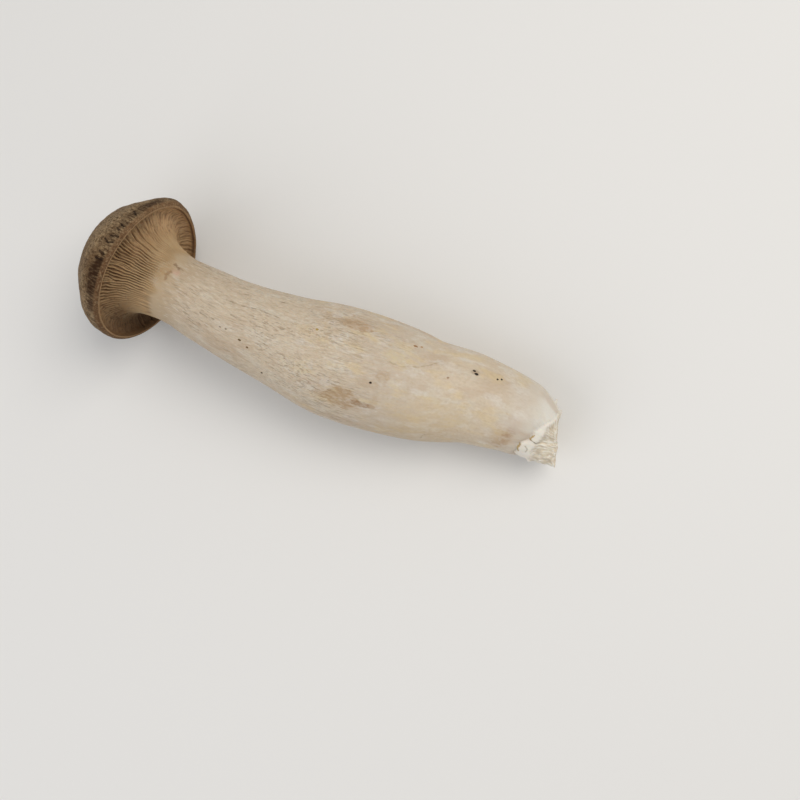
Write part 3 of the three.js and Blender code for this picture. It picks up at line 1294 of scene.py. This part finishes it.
@dataclass(frozen=True)
class MushroomFlesh:
    """Raw pale flesh: matt and thready towards the cap, waxy at the base, white where torn."""

    LOOK = Look("#9b7c58", roughness=0.56, scatter=0.16, gloss=0.35)
    # the ground colour from the lip to the base, over lengths in mm that drift a little
    TONES = (
        ("#ab8d67", 1.0, 8.0), ("#b39873", 11.0, 18.0), ("#a98f6b", 19.5, 22.0),
        ("#b49f82", 21.5, 24.5), ("#c7b8a2", 26.0, 38.0), ("#cabba5", 55.0, 80.0),
        ("#c5b7a4", 85.0, 105.0), ("#cdbea8", 110.0, 130.0), ("#ccc1b1", 141.0, 152.0),
        ("#d9d5cb", 153.0, 161.0),
    )
    DRIFT_NOISE, DRIFT = ((9.0, 5.0, 5.0), 3.0, 0.0), 9.0
    # painted warm light on the gills to the right, towards the rim, and painted shade in their
    # valleys
    GILL_LIGHT_AND_SHADE = (
        Layer("#c8a67e", 0.95, (Range(On.RIGHT, 12.0, 21.0), Range(On.LENGTH, 15.0, 9.0))),
        Layer("#5b3c25", 0.70, (Range(On.VALLEY_SHADE, 0.08, 0.92),)),
    )
    # fine folds between the ridges, along the spokes of the fan, darkened with painted shade
    FOLDED = (Range(On.LENGTH, 0.8, 2.4), Range(On.LENGTH, 16.0, 9.0))
    FOLDS, FOLD_BEND, FOLD_LEVELS = 44.0, 0.24, (0.49, 0.62)
    FOLD_COLOUR, FOLD_COVER = "#5b3c25", 0.42
    # painted shadow behind the lip, and painted shade in the hollow under the cap's lower side
    HOLLOW_SHADOWS = (
        Layer("#4a3220", 0.80, (Range(On.LENGTH, 0.15, 0.5), Range(On.LENGTH, 1.9, 0.8),
                                Range(On.RIGHT, 2.0, 18.0))),
        Layer("#4a3220", 0.68, (Range(On.LENGTH, 22.0, 9.0), Range(On.LOW, 1.0, 23.0))),
    )
    STEM = Range(On.LENGTH, 24.0, 30.0)
    THREADY = Range(On.LENGTH, 118.0, 88.0, least=0.15)
    WAXY = (Range(On.LENGTH, 62.0, 84.0), Range(On.LENGTH, 157.0, 148.0))
    STEM_LAYERS = (
        # broad tan and cool drifts
        Layer("#b7a087", 0.45, (STEM, Specks((20.0, 8.0, 8.0), 0.48, 0.66, 3.0, 5.0))),
        Layer("#cfc8b9", 0.45, (STEM, Specks((13.0, 4.5, 4.5), 0.52, 0.68, 3.0, 9.0))),
        # short dark and pale threads
        Layer("#a4917a", 0.26, (STEM, THREADY, Specks((2.4, 0.5, 0.5), 0.52, 0.64, 3.0, 61.0))),
        Layer("#dfd6c6", 0.32, (STEM, THREADY, Specks((2.8, 0.55, 0.55), 0.54, 0.66, 3.0, 67.0))),
        # yellow, cool and tan drifts, which make the lower stem look moist
        Layer("#d4bf93", 0.46, (*WAXY, Specks((9.0, 4.0, 4.0), 0.50, 0.66, 3.0, 29.0))),
        Layer("#d6d0c6", 0.46, (*WAXY, Specks((7.0, 3.4, 3.4), 0.52, 0.66, 3.0, 33.0))),
        Layer("#bba58a", 0.34, (*WAXY, Specks((2.0, 1.1, 1.1), 0.54, 0.68, 3.0, 39.0))),
        # a fine mottle, which breaks up all of them
        Layer("#b9a68d", 0.24, (STEM, Range(On.LENGTH, 158.0, 146.0),
                                Specks((1.1, 0.8, 0.8), 0.40, 0.62, 3.0, 91.0))),
    )
    # grey-brown dashes in clusters, and long fine hairs
    DASHES = (STEM, THREADY, Specks((22.0, 8.0, 8.0), 0.40, 0.62, 2.0, 17.0, least=0.3),
              Specks((3.4, 0.42, 0.42), 0.56, 0.67, 1.0, 23.0))
    HAIRS = (STEM, THREADY, Specks((6.5, 0.34, 0.34), 0.48, 0.68, 2.0, 41.0))
    DASH_COLOUR, DASH_COVER, HAIR_COLOUR, HAIR_COVER = "#948069", 0.50, "#ab9981", 0.36
    # the large marks are mottled inside, and those of a half width up to SPECK_SIZE mm aren't
    WORN = Specks((1.9, 1.0, 1.0), 0.38, 0.60, 3.0, 53.0, least=0.52, most=1.14)
    SPECK_SIZE = 1.0
    # creases are broken up, except near the neck and the base
    BROKEN = Specks((2.4, 0.9, 0.9), 0.42, 0.58, 2.0, 37.0, least=0.25)
    WHOLE = (Range(On.LENGTH, 30.0, 27.0), Range(On.LENGTH, 150.0, 153.0))
    # the torn face: white strands on cream, painted tan shade to the right, and painted grey shade
    # in specks, for its pits
    CREAM, FLAP_WHITE = "#d3c7b1", "#e9e3d6"
    CREAM_COVER, FLAP_COVER, STRAND_COVER = 0.95, 0.85, 0.9
    STRAND_NOISE, STRAND_LEVELS = ((2.8, 0.85, 0.85), 3.0, 71.0), (0.42, 0.62)
    TORN_TAN_SHADE = ("#b69c76", Range(On.RIGHT, -3.0, 3.0), 0.28)
    TORN_SHADE = ("#b3a28b", Specks((2.2, 1.3, 1.3), 0.46, 0.64, 2.0, 83.0), 0.42)
    # the waxy part is smoother than the dry and torn parts
    WAX = Range(On.LENGTH, 95.0, 125.0)
    SMOOTHER, DRIER = 0.06, 0.16
    # how deep each relief is, in mm
    HAIR_DEPTH, FOLD_DEPTH, CREASE_DEPTH, STRAND_DEPTH = 0.05, 0.12, 0.16, 0.35
    DASH_SHARE = 0.6

    def material(self, profile: Profile) -> bpy.types.Material:
        """Builds the flesh of the gills, the stem and the torn base.

        Args:
            profile: the section's sizes, which place the marks.

        Returns:
            The material.
        """
        paint = Paint("mushroom flesh", self.LOOK, profile)
        drift = paint.product(paint.wobble(*self.DRIFT_NOISE), self.DRIFT)
        length = paint.maths("ADD", paint.source(On.LENGTH), drift)
        for tone, start, end in self.TONES:
            paint.lay(tone, paint.rise(length, start, end))
        # painted warm light on the gills and painted shade in their valleys
        paint.spread(self.GILL_LIGHT_AND_SHADE)
        folds = self.folds(paint)
        # painted shade in the fine folds
        paint.lay(self.FOLD_COLOUR, folds, self.FOLD_COVER)
        # painted shadow behind the lip and painted shade in the hollow under the cap
        paint.spread(self.HOLLOW_SHADOWS)
        paint.spread(self.STEM_LAYERS)
        dashes, hairs = paint.mask(*self.DASHES), paint.mask(*self.HAIRS)
        paint.lay(self.DASH_COLOUR, dashes, self.DASH_COVER)
        paint.lay(self.HAIR_COLOUR, hairs, self.HAIR_COVER)
        worn = paint.mask(self.WORN)
        for mark in STEM_MARKS:
            paint.lay(mark.colour, mark, worn if mark.half_width > self.SPECK_SIZE else 1.0)
        strands = self.tear(paint)
        whole = (paint.mask(part) for part in self.WHOLE)
        lines = paint.crack(STEM_CREASES, paint.most(paint.mask(self.BROKEN), *whole))
        self.dull(paint)
        paint.sink(hairs, self.HAIR_DEPTH)
        paint.sink(folds, self.FOLD_DEPTH)
        paint.sink(paint.most(paint.product(dashes, self.DASH_SHARE), lines), self.CREASE_DEPTH)
        paint.emboss(paint.product(paint.source(On.TORN), strands), self.STRAND_DEPTH)
        return paint.finish()

    def folds(self, paint: Paint) -> Socket:
        """Makes the mask of the fine folds between the gills' ridges.

        Args:
            paint: the finish that they are laid on.

        Returns:
            The mask.
        """
        across = paint.vector("MULTIPLY", paint.grain, (0.0, 1.0, 1.0)).outputs[0]
        spoke = paint.vector("NORMALIZE", across).outputs[0]
        along = paint.vector("MULTIPLY", paint.grain, (self.FOLD_BEND, 0.0, 0.0)).outputs[0]
        fan = paint.vector("MULTIPLY_ADD", spoke, (self.FOLDS,) * 3, along).outputs[0]
        fine = add(paint.tree, "ShaderNodeTexNoise", inputs={
            "Vector": fan, "Scale": 1.0, "Detail": 2.0}).outputs[0]
        return paint.mask(*self.FOLDED, paint.rise(fine, *self.FOLD_LEVELS))

    def tear(self, paint: Paint) -> Socket:
        """Lays the torn base's colours, with painted shade to the right and in its pits.

        Args:
            paint: the finish that they are laid on.

        Returns:
            The noise of its strands.
        """
        torn = paint.source(On.TORN)
        strands = paint.noise(*self.STRAND_NOISE)
        paint.lay(self.FLAP_WHITE, paint.source(On.FLAP), self.FLAP_COVER)
        paint.lay(self.CREAM, torn, self.CREAM_COVER)
        # painted tan shade to the right and painted grey shade in specks
        for colour, *parts in (self.TORN_TAN_SHADE, self.TORN_SHADE):
            paint.lay(colour, torn, *parts)
        white = paint.rise(strands, *self.STRAND_LEVELS)
        paint.lay(self.FLAP_WHITE, torn, white, self.STRAND_COVER)
        return strands

    def dull(self, paint: Paint) -> None:
        """Sets the roughness: waxy low down, dry towards the cap and where torn.

        Args:
            paint: the finish.
        """
        dry = paint.maths("SUBTRACT", 1.0, paint.mask(self.WAX))
        dry = paint.most(dry, paint.source(On.TORN))
        rough = paint.maths("ADD", paint.product(dry, self.DRIER),
                            self.LOOK.roughness - self.SMOOTHER)
        paint.tree.links.new(rough, paint.shader.inputs["Roughness"])


class Mushroom:
    """The whole mushroom, which grew as one piece."""

    def __init__(self) -> None:
        """Keeps the sizes of its form, gills and tear."""
        self.profile = Profile()
        self.axis = Axis()
        self.tear = Tear()
        self.gills = Gills()

    def build(self) -> bpy.types.Object:
        """Makes the skin, presses the gills into it and dresses it.

        Returns:
            The one piece.
        """
        piece = Skin(self.profile, self.axis, self.tear).build("mushroom_skin")
        piece.data.materials.append(CapCuticle().material(self.profile))
        self.gills.press(piece, MushroomFlesh().material(self.profile))
        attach(piece, "root")
        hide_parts(NODE)
        return piece


@dataclass(frozen=True)
class PaleFloor:
    """A plain matt pale board, which throws soft light back up at the mushroom."""

    colour: str = "#e3e2df"
    side: float = 4.0
    below: float = 0.0001
    roughness: float = 0.8

    def build(self) -> bpy.types.Object:
        """Lays the floor just under the mushroom.

        Returns:
            The floor.
        """
        half = self.side / 2
        corners = [(-half, -half, -self.below), (half, -half, -self.below),
                   (half, half, -self.below), (-half, half, -self.below)]
        mesh = bpy.data.meshes.new("floor")
        mesh.from_pydata(corners, [], [(0, 1, 2, 3)])
        floor = bpy.data.objects.new("floor", mesh)
        bpy.context.scene.collection.objects.link(floor)
        board = bpy.data.materials.new("pale matt board")
        board.use_nodes = True
        shader = board.node_tree.nodes["Principled BSDF"]
        shader.inputs["Base Color"].default_value = linear(self.colour)
        shader.inputs["Roughness"].default_value = self.roughness
        mesh.materials.append(board)
        return floor


@dataclass(frozen=True)
class SoftLight:
    """One large soft lamp: where it stands, what it looks at, its side and its power."""

    name: str
    place: tuple
    target: tuple
    side: float
    power: float
    colour: str

    def build(self) -> bpy.types.Object:
        """Hangs the lamp.

        Returns:
            The lamp.
        """
        lamp = bpy.data.lights.new(self.name, "AREA")
        lamp.shape = "SQUARE"
        lamp.size = self.side
        lamp.energy = self.power
        lamp.color = linear(self.colour)[:3]
        thing = bpy.data.objects.new(self.name, lamp)
        thing.location = self.place
        way = Vector(self.target) - Vector(self.place)
        thing.rotation_euler = way.to_track_quat("-Z", "Y").to_euler()
        bpy.context.scene.collection.objects.link(thing)
        return thing


@dataclass(frozen=True)
class Studio:
    """Pale floor, soft overhead light and the camera at the photograph's angle."""

    target: tuple = (31.85, -14.12, 18.0)
    distance: float = 372.0
    tilt: float = math.radians(12.0)
    roll: float = math.radians(17.3)
    lens: float = 50.0
    sensor: float = 36.0
    sky: float = 0.50
    sky_colour: str = "#f3f4f6"
    lamps: tuple = (
        SoftLight("key light", (0.42, 0.40, 0.85), (0.0, 0.0, 0.0), 0.7, 5.6, "#fffaf3"),
        SoftLight("fill light", (-0.35, -0.5, 0.6), (0.0, 0.0, 0.0), 0.8, 2.2, "#fbfbff"),
    )

    def camera(self) -> bpy.types.Object:
        """Sets the camera: straight down but for a tilt to the base, and turned in the frame.

        Returns:
            The camera.
        """
        back = Vector((math.sin(self.tilt), 0.0, math.cos(self.tilt)))
        right = Vector((math.cos(self.roll), math.sin(self.roll), 0.0))
        right = (right - back * back.dot(right)).normalized()
        up = back.cross(right)
        lens = bpy.data.cameras.new("camera")
        lens.lens = self.lens
        lens.sensor_width = self.sensor
        camera = bpy.data.objects.new("camera", lens)
        turn = Matrix((right, up, back)).transposed().to_4x4()
        place = (Vector(self.target) + back * self.distance) * MM
        camera.matrix_world = Matrix.Translation(place) @ turn
        bpy.context.scene.collection.objects.link(camera)
        bpy.context.scene.camera = camera
        return camera

    def build(self) -> None:
        """Sets up the floor, the lamps, the even light from all round and the camera."""
        scene = bpy.context.scene
        scene.view_settings.view_transform = "Standard"
        PaleFloor().build()
        for lamp in self.lamps:
            lamp.build()
        world = bpy.data.worlds.new("studio")
        world.use_nodes = True
        light = world.node_tree.nodes["Background"]
        light.inputs["Color"].default_value = linear(self.sky_colour)
        light.inputs["Strength"].default_value = self.sky
        scene.world = world
        self.camera()


def main() -> None:
    """Builds the studio and the mushroom."""
    logging.basicConfig(level=logging.INFO, format="%(name)s: %(message)s")
    Studio().build()
    piece = Mushroom().build()
    piece.data.calc_loop_triangles()
    log.info("%s: %d points, %d triangles", piece.name, len(piece.data.vertices),
             len(piece.data.loop_triangles))


if __name__ == "__main__":
    main()
